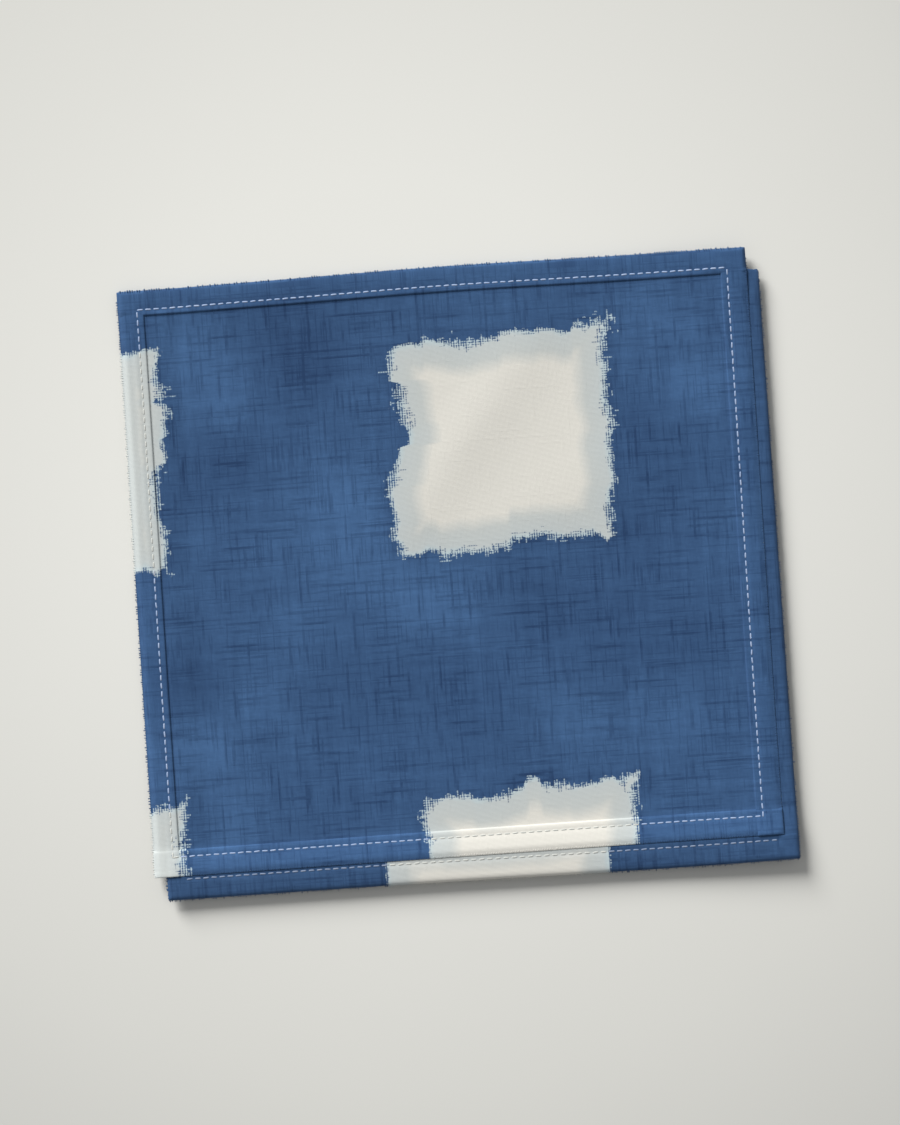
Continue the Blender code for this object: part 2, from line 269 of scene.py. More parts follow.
def ridges(across, reach):
    """The sum of the low ridges: bells that are long one way and narrow the other."""
    total = np.zeros(np.broadcast(across, reach).shape)
    for row in RIDGES:
        turn = math.radians(row["turn_deg"])
        right = across - row["across"]
        away = row["reach"] - reach
        lengthwise = (right * math.cos(turn) + away * math.sin(turn)) / row["half_length"]
        sideways = (away * math.cos(turn) - right * math.sin(turn)) / row["half_width"]
        total += row["height"] * np.exp(-lengthwise ** 2 - sideways ** 2)
    return total


# ---- where the two layers lie ----

def lower_shift(reach):
    """How far right the lower layer's left edge lies: nothing at the fold, then a soft step."""
    return LOWER_SHIFT * smooth((reach - SHIFT_START) / SHIFT_RUN)


def lower_stretch(reach):
    """The lower layer's width over the cloth's width: 1 at the fold, a little more beyond it."""
    return 1.0 + LOWER_SPREAD / CLOTH_WIDTH * smooth((reach - SHIFT_START) / SHIFT_RUN)


def lower_scale(across):
    """The lower layer's length over its named length, because its near edge and fold wander."""
    return 1.0 + (humps(across, FOLD_HUMPS) - humps(across, LOWER_NEAR_HUMPS)) / LOWER_LENGTH


def upper_place(across, reach):
    """X and Y on the upper layer: it leans sideways, and the fold's humps fade out."""
    x = across + UPPER_LEAN * smooth(reach / LEAN_RUN)
    y = -reach + humps(across, FOLD_HUMPS) * (1.0 - reach / UPPER_LENGTH)
    return x, y


def lower_place(across, reach):
    """X and Y on the lower layer: it steps to the right just below the fold."""
    x = lower_shift(reach) + across * lower_stretch(reach)
    y = humps(across, FOLD_HUMPS) - reach * lower_scale(across)
    return x, y


def lift(x, y):
    """Height of the cloth's underside: level, then rising to the right and to the near edge.

    The two soft rises are put together as the sides of a right triangle, and the near hem's
    even tilt is added.
    """
    right = RIGHT_LIFT * smooth(1.0 - (CLOTH_WIDTH + LOWER_SHIFT - x) / RIGHT_LIFT_RUN)
    near = NEAR_LIFT * smooth(1.0 - (LOWER_LENGTH + y) / NEAR_LIFT_RUN)
    return np.hypot(right, near) + TILT_RISE * ramp((-y - TILT_START) / TILT_RUN)


# ---- how thick the cloth is ----

def from_side(across):
    """Distance to the nearer side edge."""
    return np.minimum(across, CLOTH_WIDTH - across)


def thinned(from_edge, least=EDGE_THIN):
    """The share of a thickness that is left: least at the outer edge, rising softly to 1."""
    return least + (1.0 - least) * smooth(from_edge / EDGE_THIN_RUN)


def raised(from_edge, width, round_off=LIP_ROUND):
    """A raised strip's section: 1 on it, then a rounded lip, a steep drop, and 0 beyond."""
    rounded = LIP_FOOT + (1.0 - LIP_FOOT) * quarter((width - from_edge) / round_off)
    drop = LIP_FOOT * (1.0 - np.clip((from_edge - width) / STEP_RUN, 0.0, 1.0))
    return np.where(from_edge <= width, rounded, drop)


def hem_section(from_edge, round_off=LIP_ROUND):
    """A hem's section: a raised strip that is thinner at its outer edge."""
    return thinned(from_edge) * raised(from_edge, HEM_WIDTH, round_off)


def crevice(beside):
    """Depth of the trough beside a hem: deepest at the hem's foot, nothing past its run."""
    return CREVICE_DEEP * np.where(beside > 0.0, 1.0 - smooth(beside / CREVICE_RUN), 0.0)


def seam(distance, *ends):
    """Depth of the trough along a stitch line: a bell about the line that stops at the corners."""
    depth = SEAM_DEEP * np.exp(-(distance / SEAM_HALF_WIDTH) ** 2)
    for beyond in ends:
        depth = depth * smooth(beyond / SEAM_HALF_WIDTH + 1.0)
    return depth


def upper_seams(across, reach):
    """The deepest of the stitch lines' troughs along the sides, the near edge and the fold."""
    side = from_side(across) - SEAM_IN
    near = UPPER_LENGTH - reach - NEAR_SEAM_IN
    fold = reach - SEAM_IN
    level = np.maximum(seam(near, side), seam(fold, side))
    return np.maximum(level, seam(side, near, fold))


def crossing_rise(across, near):
    """What the cloth gains where its near hem crosses a side hem: a soft-edged square."""
    climb = smooth((HEM_WIDTH - from_side(across)) / CORNER_RUN)
    return CORNER_THICK * climb * smooth((HEM_WIDTH - near) / (0.4 * CORNER_RUN))


def upper_thickness(across, reach):
    """Cloth, plus the highest of hems and strip, plus the crossing, less seams and crevices."""
    near = UPPER_LENGTH - reach
    side = from_side(across)
    cover = np.maximum(hem_section(side), hem_section(near, NEAR_LIP_ROUND))
    cover = np.maximum(cover, raised(reach, STRIP_WIDTH) * smooth(side / EDGE_ROUND))
    inner = np.minimum(np.minimum(side, near) - HEM_WIDTH, reach - STRIP_WIDTH)
    worn = thinned(np.minimum(side, near), WORN_EDGE)
    return (CLOTH_THICK * worn + HEM_THICK * cover + crossing_rise(across, near)
            - crevice(inner) - upper_seams(across, reach))


def lower_thickness(across, reach):
    """Cloth, plus a hem on its under face, plus the crossing at the near corners."""
    near = LOWER_LENGTH - reach
    cover = np.maximum(hem_section(from_side(across)), hem_section(near))
    return CLOTH_THICK + HEM_THICK * cover + crossing_rise(across, near)


# ---- how high the layers lie ----

def lower_top(across, reach):
    """Height of the lower layer's inner face: a hem's height at the hems, then down to the cloth's.

    Along the near edge a stitch line draws it down. It swells where the thin right and near
    edges of the upper layer end, so that the two layers' faces are nearly level there.
    """
    near = LOWER_LENGTH - reach
    from_edge = np.minimum(from_side(across), near)
    on_hem = 1.0 - smooth((from_edge - HEM_WIDTH) / SETTLE_RUN)
    x, y = lower_place(across, reach)
    past = np.maximum(x - CLOTH_WIDTH - UPPER_LEAN * smooth(-y / LEAN_RUN), -y - UPPER_LENGTH)
    outer = np.minimum(CLOTH_WIDTH - across, near)
    swell = PUFF * smooth(past / EDGE_THIN_RUN + 1.0) * quarter(outer / EDGE_ROUND)
    return (lift(x, y) + swell + CLOTH_THICK + HEM_THICK * on_hem * (1.0 + thinned(from_edge)) / 2.0
            + crossing_rise(across, near) - seam(near - LOWER_SEAM_IN, from_side(across) - SEAM_IN))


def upper_bottom(across, reach):
    """Height of the upper layer's inner face: the lower layer's height there, plus gap and ridges.

    The gap opens towards the fold, and the left edge droops where nothing lies under it.
    """
    x, y = upper_place(across, reach)
    under_reach = (humps(x, FOLD_HUMPS) - y) / lower_scale(x)
    under_across = (x - lower_shift(under_reach)) / lower_stretch(under_reach)
    opening = (FOLD_GAP - LAYER_GAP) * smooth(1.0 - (reach - ROLL_REACH) / FOLD_OPEN_RUN)
    droop = OVERHANG_DROP * smooth(-under_across / OVERHANG_RUN)
    return lower_top(under_across, under_reach) + LAYER_GAP + opening + ridges(across, reach) - droop


# ---- stations of the fine grid ----

EDGE_BAND = 20.0 * MM  # a border this wide is divided finely
HEM_PITCH = 0.6 * MM  # on the hem, from its rounded edge to the seam
INNER_PITCH = 1.0 * MM  # from the seam to the lip
OUTER_PITCH = 1.7 * MM  # where the hems settle, and on the strip and the fold
CHART_SPAN = (94.0 * MM, 184.0 * MM)  # what the middle squares take up across
CHART_REACHES = (187.0 * MM, 108.0 * MM)  # no square's edge lies between these
CHART_PITCH = 1.0 * MM  # where the dyed squares' edges are charted
PLAIN_PITCH = 3.7 * MM  # where the cloth is all one colour
HIDDEN_PITCH = 7.0 * MM  # on the lower layer
EDGE_STEPS = 5
ROLL_STEPS = 14


def stations(*runs):
    """Lengths that run from mark to mark. Each run is a start, an end and the longest step."""
    parts = []
    for start, end, pitch in runs:
        count = max(1, math.ceil(abs(end - start) / pitch - 1e-6))
        parts.append(np.linspace(start, end, count, endpoint=False))
    return np.concatenate(parts + [[runs[-1][1]]])


def lip_stations(width, round_off=LIP_ROUND):
    """Stations over a hem's rounded lip, its drop and the crevice beside it."""
    over = width - round_off * (1.0 - np.sin(np.linspace(0.0, math.pi / 2, 5)))[:-1]
    beside = width + np.array([0.0, STEP_RUN, 0.25 * MM, 0.7 * MM, CREVICE_RUN])
    return np.concatenate([over, beside])


def border(seam_in, round_off=LIP_ROUND, last_pitch=OUTER_PITCH):
    """Stations from an outer edge inwards: rounded edge, hem, seam, lip, crevice and settling."""
    rounding = EDGE_ROUND * (1.0 - np.cos(np.linspace(0.0, math.pi / 2, EDGE_STEPS + 1)))
    half = SEAM_HALF_WIDTH
    hem = stations((EDGE_ROUND, seam_in - half, HEM_PITCH),
                   (seam_in - half, seam_in + half, half / 2),
                   (seam_in + half, HEM_WIDTH - round_off, INNER_PITCH))
    settling = stations((HEM_WIDTH + CREVICE_RUN, EDGE_BAND, last_pitch))
    return np.concatenate([rounding[:-1], hem[:-1], lip_stations(HEM_WIDTH, round_off)[:-1], settling])


def across_stations():
    """Stations from the left edge to the right one."""
    side = border(SEAM_IN)
    start, end = CHART_SPAN
    middle = stations((EDGE_BAND, start, PLAIN_PITCH), (start, end, CHART_PITCH),
                      (end, CLOTH_WIDTH - EDGE_BAND, PLAIN_PITCH))
    return np.concatenate([side, middle[1:-1], (CLOTH_WIDTH - side)[::-1]])[None, :]


def upper_reaches():
    """Reaches of the upper layer's rows, from its near edge to the roll."""
    near = UPPER_LENGTH - border(NEAR_SEAM_IN, NEAR_LIP_ROUND, last_pitch=CHART_PITCH)
    start, end = CHART_REACHES
    body = stations((near[-1], start, CHART_PITCH), (start, end, PLAIN_PITCH),
                    (end, STRIP_WIDTH + CREVICE_RUN, CHART_PITCH))
    half = SEAM_HALF_WIDTH
    strip = stations((ROLL_REACH, SEAM_IN - half, OUTER_PITCH),
                     (SEAM_IN - half, SEAM_IN + half, half / 2),
                     (SEAM_IN + half, STRIP_WIDTH - LIP_ROUND, INNER_PITCH))
    strip = np.concatenate([strip[:-1], lip_stations(STRIP_WIDTH)[:-1]])
    return np.concatenate([near, body[1:], strip[::-1]])[:, None]


def lower_reaches():
    """Reaches of the lower layer's rows, from the roll to its near edge."""
    body = stations((ROLL_REACH, SHIFT_START, OUTER_PITCH),
                    (SHIFT_START, SHIFT_START + SHIFT_RUN, SHIFT_RUN / 6),
                    (SHIFT_START + SHIFT_RUN, LOWER_LENGTH - EDGE_BAND, HIDDEN_PITCH))
    near = LOWER_LENGTH - border(LOWER_SEAM_IN)
    return np.concatenate([body[:-1], near[::-1]])[:, None]


# ---- the two faces of the sheet ----

def faces_about(place, middle, thick, from_edge):
    """Low and high points about a middle height, drawn together along a quarter ellipse at the edge."""
    half = thick / 2.0 * quarter(from_edge / EDGE_ROUND)
    return [np.stack(np.broadcast_arrays(*place, height), axis=-1)
            for height in (middle - half, middle + half)]


def upper_faces(across, reach):
    """Inner and outer points of the upper layer."""
    thick = upper_thickness(across, reach)
    middle = upper_bottom(across, reach) + thick / 2.0
    from_edge = np.minimum(from_side(across), UPPER_LENGTH - reach)
    return faces_about(upper_place(across, reach), middle, thick, from_edge)


def lower_faces(across, reach):
    """Inner and outer points of the lower layer, whose inner face is the high one."""
    thick = lower_thickness(across, reach)
    middle = lower_top(across, reach) - thick / 2.0
    from_edge = np.minimum(from_side(across), LOWER_LENGTH - reach)
    return faces_about(lower_place(across, reach), middle, thick, from_edge)[::-1]


def roll_section(across, turn):
    """Middle of the sheet round the fold, the direction out of it, and the thickness there.

    The middle line is a half circle whose radius is half the gap and half the thickness. The
    thickness changes evenly from the upper layer's to the lower one's.
    """
    above = upper_thickness(across, ROLL_REACH)
    below = lower_thickness(across, ROLL_REACH)
    thick = below + (above - below) * (1.0 + np.cos(turn)) / 2.0
    radius = (FOLD_GAP + thick) / 2.0
    furthest = FOLD_GAP / 2.0 + (above + below) / 2.0
    x, y = upper_place(across, furthest)
    z = lower_top(across, ROLL_REACH) + FOLD_GAP / 2.0
    out = np.stack(np.broadcast_arrays(0.0 * turn * across, np.sin(turn), np.cos(turn)), axis=-1)
    centre = np.stack(np.broadcast_arrays(x + 0.0 * turn, y + 0.0 * turn, z + 0.0 * turn), axis=-1)
    return centre + out * radius[..., None], out, thick


def roll_faces(across, turn):
    """Inner and outer points of the fold."""
    middle, out, thick = roll_section(across, turn)
    edge = quarter(from_side(across) / EDGE_ROUND)
    half = (thick / 2.0 * edge)[..., None] * out
    return middle - half, middle + half


# ---- how the cloth is dyed, and the light and shade painted on its hems and layers ----

def edge_at(rows, along):
    """Place and comb of a square's edge, straight from row to row of its chart."""
    chart = np.array(rows, float)
    return np.interp(along, chart[:, 0], chart[:, 1]), np.interp(along, chart[:, 0], chart[:, 2])


def square_field(row, across, reach):
    """Distance in from the nearest edge of one undyed square, and the comb of that edge."""
    left, left_comb = edge_at(row["left"], reach)
    right, right_comb = edge_at(row["right"], reach)
    far, far_comb = edge_at(row["far"], across)
    near, near_comb = edge_at(row["near"], across)
    inside = np.stack([across - left, right - across, reach - far, near - reach])
    combs = np.stack([left_comb, right_comb, far_comb, near_comb])
    nearest = inside.argmin(axis=0)[None]
    return np.take_along_axis(inside, nearest, 0)[0], np.take_along_axis(combs, nearest, 0)[0]


def undyed_field(across, reach):
    """Distance in from the edge of the undyed squares, below zero where dyed, and its comb."""
    fields = [square_field(row, across / MM, reach / MM) for row in SQUARES]
    inside = np.stack([field[0] for field in fields])
    combs = np.stack([field[1] for field in fields])
    innermost = inside.argmax(axis=0)[None]
    inside = np.take_along_axis(inside, innermost, 0)[0]
    return np.clip(inside, -40.0, 40.0), np.take_along_axis(combs, innermost, 0)[0]


def clouds(across, reach):
    """Lighter and deeper patches of the dye bath, as a sum of round bells."""
    total = np.zeros(across.shape)
    for middle, away, half_width, light in DYE_CLOUDS:
        apart = (across / MM - middle) ** 2 + (reach / MM - away) ** 2
        total += light * np.exp(-apart / half_width ** 2)
    return total


def painted_light_and_shade(across, reach):
    """Painted light and shade on the blue: 1 on the upper near hem, which tilts up to the lamp,
    less on the other hems and the fold strip, and below zero for shade on the lower layer.
    """
    side = smooth((HEM_WIDTH - from_side(across)) / SIDE_LIGHT_RUN + 1.0)
    fold = smooth((STRIP_WIDTH - reach) / SIDE_LIGHT_RUN + 1.0)
    near = smooth((HEM_WIDTH - (UPPER_LENGTH - reach)) / NEAR_LIGHT_RUN + 0.5)
    upper = np.maximum(SIDE_PAINTED_LIGHT * np.maximum(side, fold), near)
    return np.where(reach > 0.0, upper, LOWER_PAINTED_SHADE)


def put_dye(mesh, across, reach, painted_shading=None):
    """Gives each vertex its thread counts as a UV map, three measures of its dyeing, and its painted
    light and shade.
    """
    across, reach = (np.ravel(part) for part in np.broadcast_arrays(across, reach))
    layer = mesh.uv_layers.new(name="threads")
    corner = np.empty(len(mesh.loops), np.int32)
    mesh.loops.foreach_get("vertex_index", corner)
    counts = np.stack([across, reach], axis=1)[corner] / THREAD
    layer.data.foreach_set("uv", counts.astype(np.float32).ravel())
    inside, comb = undyed_field(across, reach)
    if painted_shading is None:
        painted_shading = painted_light_and_shade(across, reach)
    painted_shading = np.broadcast_to(painted_shading, across.shape)
    # The attribute named hem carries the painted light and shade, not a dye.
    for name, values in (("undyed", inside), ("comb", comb), ("clouds", clouds(across, reach)),
                         ("hem", painted_shading)):
        attribute = mesh.attributes.new(name, "FLOAT", "POINT")
        attribute.data.foreach_set("value", values.astype(np.float32))


# ---- meshes ----

def new_piece(name, points, faces, material):
    """A smooth-shaded mesh object at the origin, from an array of points and arrays of faces.

    Each array of faces holds one kind, a row of vertex numbers for each.
    """
    mesh = bpy.data.meshes.new(name)
    points = points.reshape(-1, 3)
    corners = np.concatenate([kind.ravel() for kind in faces])
    sizes = np.concatenate([np.full(len(kind), kind.shape[1]) for kind in faces])
    mesh.vertices.add(len(points))
    mesh.vertices.foreach_set("co", points.astype(np.float32).ravel())
    mesh.loops.add(len(corners))
    mesh.loops.foreach_set("vertex_index", corners.astype(np.int32))
    mesh.polygons.add(len(sizes))
    mesh.polygons.foreach_set("loop_start", (np.cumsum(sizes) - sizes).astype(np.int32))
    mesh.update(calc_edges=True)
    mesh.validate()
    mesh.shade_smooth()
    mesh.materials.append(material)
    piece = bpy.data.objects.new(name, mesh)
    bpy.context.scene.collection.objects.link(piece)
    return piece


def grid_quads(number):
    """Quads over a grid of vertex numbers, wound from rows that go up and columns that go right."""
    return np.stack([number[:-1, :-1], number[:-1, 1:], number[1:, 1:], number[1:, :-1]],
                    axis=-1).reshape(-1, 4)


def cloth_sheet(material):
    """The closed sheet: outer and inner grids that share their points along the four edges."""
    across = across_stations()
    upper, lower = upper_reaches(), lower_reaches()
    turn = np.linspace(0.0, math.pi, ROLL_STEPS + 1)[:, None]
    layers = [upper_faces(across, upper), roll_faces(across, turn), lower_faces(across, lower)]
    inner, outer = (np.concatenate([layer[side] for layer in layers]) for side in (0, 1))
    turn_reach = ROLL_REACH * (1.0 - 2.0 * turn / math.pi)
    reach = np.concatenate([upper, turn_reach, -lower])
    rows, columns = outer.shape[:2]

    edge = np.ones((rows, columns), bool)
    edge[1:-1, 1:-1] = False
    front = np.arange(rows * columns).reshape(rows, columns)
    back = front.copy()
    back[~edge] = rows * columns + np.arange((~edge).sum())
    points = np.concatenate([outer.reshape(-1, 3), inner[~edge]])
    faces = np.concatenate([grid_quads(front), grid_quads(back)[:, ::-1]])

    own = (points.min(axis=0) + points.max(axis=0)) / 2.0
    cad = (np.array(cad_box[0]) + np.array(cad_box[1])) / 2.0
    up = cad_box[0][2] + REST_GAP - points[:, 2].min()
    shift = np.array([cad[0] - own[0], cad[1] - own[1], up])
    piece = new_piece("cloth_sheet", points + shift, [faces], material)
    across = np.broadcast_to(across, (rows, columns))
    reach = np.broadcast_to(reach, (rows, columns))
    put_dye(piece.data, np.concatenate([across.ravel(), across[~edge]]),
            np.concatenate([reach.ravel(), reach[~edge]]))
    return piece, shift


def bead(rings, sides, blunt):
    """A closed bead along +X: a profile turned round the axis, with a pole at each end.

    Its radius is (1 - |along|^blunt)^(1/2). Gives its unit points, from -1 to 1 along X and of
    radius 1, and its triangles and quads.
    """
    along = -np.cos(np.linspace(0.0, math.pi, rings + 2))[1:-1]
    swell = (1.0 - np.abs(along) ** blunt) ** 0.5
    angle = np.arange(sides) * 2.0 * math.pi / sides
    ring = np.stack([np.repeat(along, sides), np.outer(swell, np.cos(angle)).ravel(),
                     np.outer(swell, np.sin(angle)).ravel()], axis=1)
    points = np.concatenate([[[-1.0, 0.0, 0.0]], ring, [[1.0, 0.0, 0.0]]])
    number = 1 + np.arange(rings * sides).reshape(rings, sides)
    number = np.concatenate([number, number[:, :1]], axis=1)
    first, last = number[0], number[-1]
    start = np.stack([0 * first[1:], first[1:], first[:-1]], axis=1)
    end = np.stack([0 * last[1:] + len(points) - 1, last[:-1], last[1:]], axis=1)
    return points, [np.concatenate([start, end]), grid_quads(number)]


def put_copies(name, rows, faces, shift, material, painted_shading=None):
    """One piece from rows of a shape's copies: their points, and across and reach for the dye.

    The faces are numbered again for each copy.
    """
    points = np.concatenate([body for body, across, reach in rows]) + shift
    across, reach = (np.concatenate([np.broadcast_to(row[part], row[0].shape[:2]) for row in rows])
                     for part in (1, 2))
    lead = points.shape[1] * np.arange(len(points))[:, None, None]
    faces = [(kind[None] + lead).reshape(-1, kind.shape[1]) for kind in faces]
    piece = new_piece(name, points, faces, material)
    put_dye(piece.data, across, reach, painted_shading)
    return piece


def face_point(face, across, reach):
    """The point on a face of the cloth, without the rounding of its edges."""
    if face == "upper":
        x, y = upper_place(across, reach)
        z = upper_bottom(across, reach) + upper_thickness(across, reach)
    else:
        x, y = lower_place(across, reach)
        z = lower_top(across, reach)
        if face == "under":
            z = z - lower_thickness(across, reach)
    return np.stack([x, y, z], axis=-1)


def stitch_lines():
    """Every row of stitches: its face, arrays of across and reach, and 1 where it runs along."""
    right = CLOTH_WIDTH - SEAM_IN
    level = np.arange(SEAM_IN + 0.4 * STITCH_PITCH, right, STITCH_PITCH)
    rows = []
    for face, near, far in (("upper", UPPER_LENGTH - NEAR_SEAM_IN, SEAM_IN),
                            ("lower", LOWER_LENGTH - LOWER_SEAM_IN, None),
                            ("under", LOWER_LENGTH - LOWER_SEAM_IN, 2 * SHIFT_START)):
        rows.append((face, level, np.full_like(level, near), 0.0))
        if face == "upper":
            rows.append((face, level, np.full_like(level, far), 0.0))
        if far is not None:
            side = np.arange(far + 0.6 * STITCH_PITCH, near, STITCH_PITCH)
            rows.append((face, np.full_like(side, SEAM_IN), side, 1.0))
            rows.append((face, np.full_like(side, right), side, 1.0))
    return rows


def stitches(shift, material):
    """The sewing thread: a blunt bead for each stitch, slanting a little, its ends drawn down."""
    rng = np.random.default_rng(11)
    unit, faces = bead(6, 8, 6.0)
    rows = []
    for face, across, reach, runs_along in stitch_lines():
        by_turns = np.where(np.arange(len(across)) % 2 == 0, STITCH_SLANT, -STITCH_SLANT)
        slant = np.radians(by_turns + rng.normal(0.0, STITCH_WANDER, len(across)))
        half = STITCH_LENGTH / 2 * rng.uniform(0.95, 1.04, len(across))
        centre = face_point(face, across, reach)
        step = 0.4 * MM
        ahead = face_point(face, across + (1 - runs_along) * step, reach - runs_along * step)
        forward = ahead - centre
        forward /= np.linalg.norm(forward, axis=1, keepdims=True)
        up = np.array([0.0, 0.0, -1.0 if face == "under" else 1.0])
        forward = (forward * np.cos(slant)[:, None]
                   + np.cross(up, forward) * np.sin(slant)[:, None])
        aside = np.cross(up, forward)
        height = (STITCH_RAISED + 0.5 * unit[:, 2] - STITCH_DRAWN * unit[:, 0] ** 4) * STITCH_HIGH
        body = (centre[:, None] + (unit[:, 0] * half[:, None])[..., None] * forward[:, None]
                + 0.5 * STITCH_WIDTH * unit[:, 1, None] * aside[:, None] + height[:, None] * up)
        signed_reach = reach if face == "upper" else -reach
        rows.append((body, across[:, None], signed_reach[:, None]))
    return put_copies("hem_stitches", rows, faces, shift, material)


def edge_thread_places():
    """Where threads turn over an edge: face, across, reach, outward, share of standing proud."""
    places = []
    for face, length in (("upper", UPPER_LENGTH), ("lower", LOWER_LENGTH)):
        first = math.ceil(ROLL_REACH / TURN_PITCH)
        picks = TURN_PITCH * (np.arange(first, int(length / TURN_PITCH)) + 0.5)
        ends = TURN_PITCH * (np.arange(int(CLOTH_WIDTH / TURN_PITCH)) + 0.5)
        pressed = PRESSED_SHARE if face == "upper" else 1.0
        places.append((face, np.zeros_like(picks), picks, (-1.0, 0.0), 1.0))
        places.append((face, np.full_like(picks, CLOTH_WIDTH), picks, (1.0, 0.0), pressed))
        places.append((face, ends, np.full_like(ends, length), (0.0, -1.0), pressed))
    return places


def edge_threads(shift, material):
    """The threads that show as small loops where they turn over the side and near edges.

    Each is a thin tube bent round the edge's rounded section, most of the way from its top to its
    underside, that stands a little proud of it by an uneven amount.
    """
    rng = np.random.default_rng(23)
    unit, faces = bead(7, 5, 3.0)
    bend = unit[:, 0] * TURN_BEND
    up = np.array([0.0, 0.0, 1.0])
    rows = []
    for face, across, reach, outward, share in edge_thread_places():
        count = len(across)
        thickness = upper_thickness if face == "upper" else lower_thickness
        thick = thickness(across, reach)
        centre = face_point(face, across, reach) - up * thick[:, None] / 2
        out = np.array([outward[0], outward[1], 0.0])
        side = np.array([-outward[1], outward[0], 0.0])
        proud = rng.uniform(*TURN_PROUD, count) * share * MM
        tube = 0.5 * TURN_PITCH * rng.uniform(*TURN_THICK, count)
        wander = rng.normal(0.0, TURN_WANDER, count) * TURN_PITCH
        tuck = TURN_TUCK + 0.8 * tube
        base = centre - out * EDGE_ROUND + side * wander[:, None]
        far_out = (EDGE_ROUND + proud - 0.4 * tube)[:, None] + 0.4 * tube[:, None] * unit[:, 1]
        high = (thick / 2 - tuck)[:, None] + 0.4 * tube[:, None] * unit[:, 1]
        body = (base[:, None] + (far_out * np.cos(bend))[..., None] * out
                + (high * np.sin(bend))[..., None] * up
                + (tube[:, None] * unit[:, 2])[..., None] * side)
        signed_reach = reach if face == "upper" else -reach
        rows.append((body, across[:, None], signed_reach[:, None]))
    # Painted shade: the turned threads are given a darker blue.
    return put_copies("edge_threads", rows, faces, shift, material, TURNED_PAINTED_SHADE)


def fold_threads(shift, material):
    """The warp threads along the fold: thin tubes round the outside of the roll."""
    rng = np.random.default_rng(31)
    across = TURN_PITCH * (np.arange(1, int(CLOTH_WIDTH / TURN_PITCH) - 1) + 0.5)
    unit, faces = bead(9, 5, 3.0)
    turn = (math.pi / 2 + unit[:, 0] * FOLD_BEND)[:, None]
    middle, out, thick = roll_section(across[None, :], turn)
    tube = 0.5 * TURN_PITCH * rng.uniform(*FOLD_THICK, len(across))
    proud = rng.uniform(*FOLD_PROUD, len(across)) * MM
    rise = thick / 2 + proud + unit[:, 1, None] * 0.5 * tube
    body = middle + rise[..., None] * out
    body[..., 0] += unit[:, 2, None] * tube
    reach = ROLL_REACH * (1.0 - 2.0 * turn[:, 0] / math.pi)
    rows = [(np.swapaxes(body, 0, 1), across[:, None], reach)]
    # Painted shade: the threads along the fold are given a darker blue too.
    return put_copies("fold_threads", rows, faces, shift, material, TURNED_PAINTED_SHADE)


# ---- materials ----

WARP_SHARE = (0.4, 0.3)  # the warp gives 30 % of what is seen, and 40 % more where it is on top
CREEP = (6.4, -3.75)  # noise times the first plus the second is the creep, in combs
ODD_CREEP = 1.1  # what every second thread creeps further
DYE_STEP = 0.12  # half the step from dyed to undyed, in millimetres
BESIDE = (-6.0, -1.0)  # how far outside a square the dye deepens, in millimetres
TONE = (0.24, 0.495)  # the clouds' share in the tone, and its middle
PATCHY = 3.0  # how unevenly the rim of a square goes in, in millimetres
RIM = (-2.5, 14.0)  # from where to where the rim's colours go, in millimetres
WEAVE_RELIEF = 0.04  # heights of the bump, in millimetres
FINE_RELIEF = 0.015
SLUB_RELIEF = 0.012
RUMPLE_RELIEF = 0.14


def linear(hex_colour):
    """An sRGB hex colour such as "38557a" as a linear RGBA tuple."""
    parts = [int(hex_colour[i:i + 2], 16) / 255.0 for i in (0, 2, 4)]
    return tuple(c / 12.92 if c <= 0.04045 else ((c + 0.055) / 1.055) ** 2.4 for c in parts) + (1.0,)


def new_material(name):
    """An empty node material; returns it, its shader, and a function that adds to its tree.

    The function adds one node, which is named with its operation if it has one. Its inputs are a
    list in socket order or a dictionary by socket name or number, each a value or another node's
    output. Stops are a ramp's places with their hex colours, and settings are the node's
    properties. It returns the output of the given number or name.
    """
    material = bpy.data.materials.new(name)
    material.use_nodes = True
    tree = material.node_tree
    shader = tree.nodes["Principled BSDF"]

    def add(kind, inputs=(), out=0, stops=(), **settings):
        kind, _, operation = kind.partition(" ")
        made = tree.nodes.new("ShaderNode" + kind)
        if operation:
            made.operation = operation
        for key, value in settings.items():
            setattr(made, key, value)
        for number, (place, colour) in enumerate(stops):
            elements = made.color_ramp.elements
            stop = elements[number] if number < len(elements) else elements.new(place)
            stop.position = place
            stop.color = linear(colour)
        for key, value in (inputs.items() if isinstance(inputs, dict) else enumerate(inputs)):
            if isinstance(value, bpy.types.NodeSocket):
                tree.links.new(value, made.inputs[key])
            else:
                made.inputs[key].default_value = value
        return made.outputs[out]

    return material, shader, add


def strands(add, index, along, seed, spread, length, detail):
    """Noise that is drawn out along one set of threads: fast from thread to thread, slow along it.

    index numbers the thread, along is the length on it in threads, spread is how far apart the
    noise is read from one thread to the next, and length is the noise's size along a thread.
    """
    row = add("Math MULTIPLY_ADD", [index, spread, seed])
    run = add("Math MULTIPLY_ADD", [along, 1.0 / length, seed])
    place = add("CombineXYZ", [row, run])
    return add("TexNoise", {"Vector": place, "Scale": 1.0, "Detail": detail, "Roughness": 0.6},
               noise_dimensions="2D")


